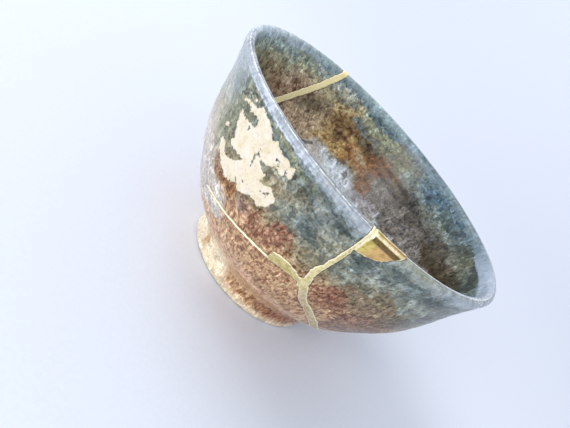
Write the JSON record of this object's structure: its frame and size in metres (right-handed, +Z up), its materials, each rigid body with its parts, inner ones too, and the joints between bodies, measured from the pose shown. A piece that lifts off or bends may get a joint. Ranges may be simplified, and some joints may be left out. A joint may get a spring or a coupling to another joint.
{
  "type": "kintsugi bowl",
  "caption": "Small glazed stoneware bowl on a foot ring, broken and mended with gold lacquer seams, a gold rim fill and a worn patch of gold leaf.",
  "frame": {"origin": "on the table under the middle of the foot ring", "axes": "+Z up through the middle of the bowl, -Y towards the side with the rim crack, the rim fill and the gold leaf"},
  "size_m": [0.12, 0.12, 0.0667],
  "materials": {
    "gilded_wall_glaze": "gloss",
    "plain_wall_glaze": "gloss",
    "foot_glaze": "gloss",
    "gold_lacquer": "satin",
    "gold_fill_lacquer": "satin"
  },
  "bodies": {
    "root": {"gilded_wall_shard": "gilded_wall_glaze", "plain_wall_shard": "plain_wall_glaze", "foot_shard": "foot_glaze", "gold_lacquer_seam": "gold_lacquer", "gold_rim_fill": "gold_fill_lacquer"}
  },
  "joints": []
}
